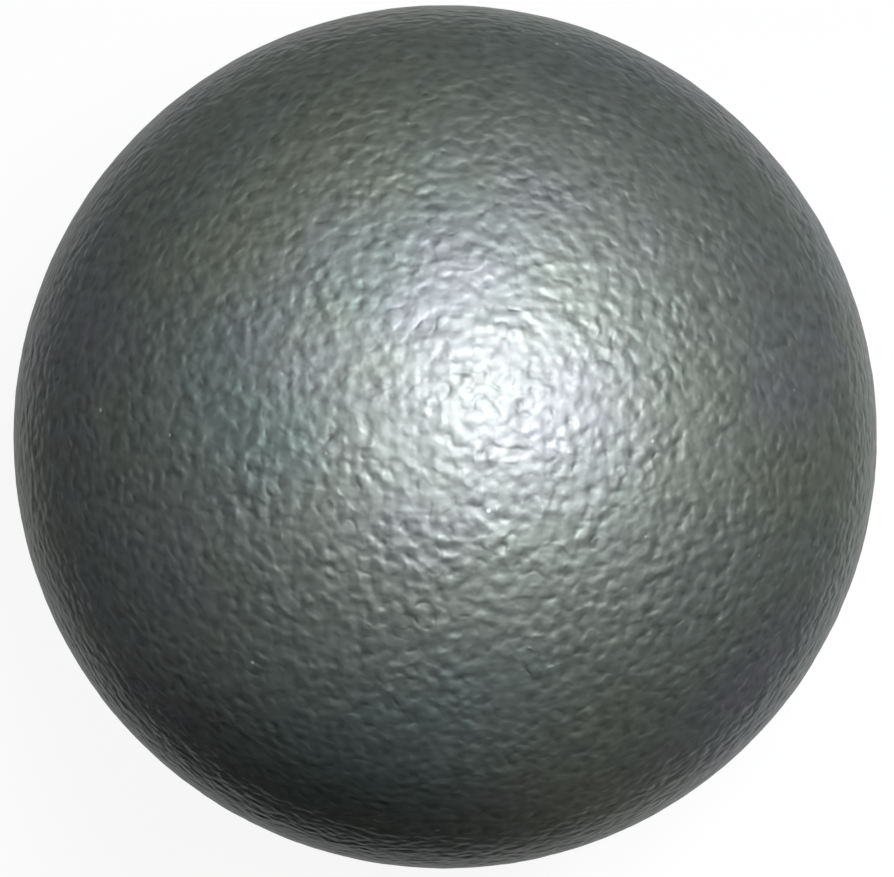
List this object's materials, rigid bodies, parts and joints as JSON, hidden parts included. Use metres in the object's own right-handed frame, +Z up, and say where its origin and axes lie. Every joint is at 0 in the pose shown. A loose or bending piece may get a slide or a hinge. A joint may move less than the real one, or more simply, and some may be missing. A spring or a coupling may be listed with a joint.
{
  "type": "shot put ball",
  "caption": "Solid cast iron ball for the shot put, in dark grey hammer finish enamel, thrown from one hand.",
  "frame": {"origin": "centre of the ball", "axes": "+Z up. The ball is the same about every axis. It touches the surface that it lies on at z = -0.0625 m"},
  "size_m": [0.125, 0.125, 0.125],
  "materials": {
    "hammer_enamel": "hammer finish enamel with aluminium flake on cast iron, pebbled, half gloss"
  },
  "bodies": {
    "root": {"shot_ball": "hammer_enamel"}
  },
  "joints": []
}
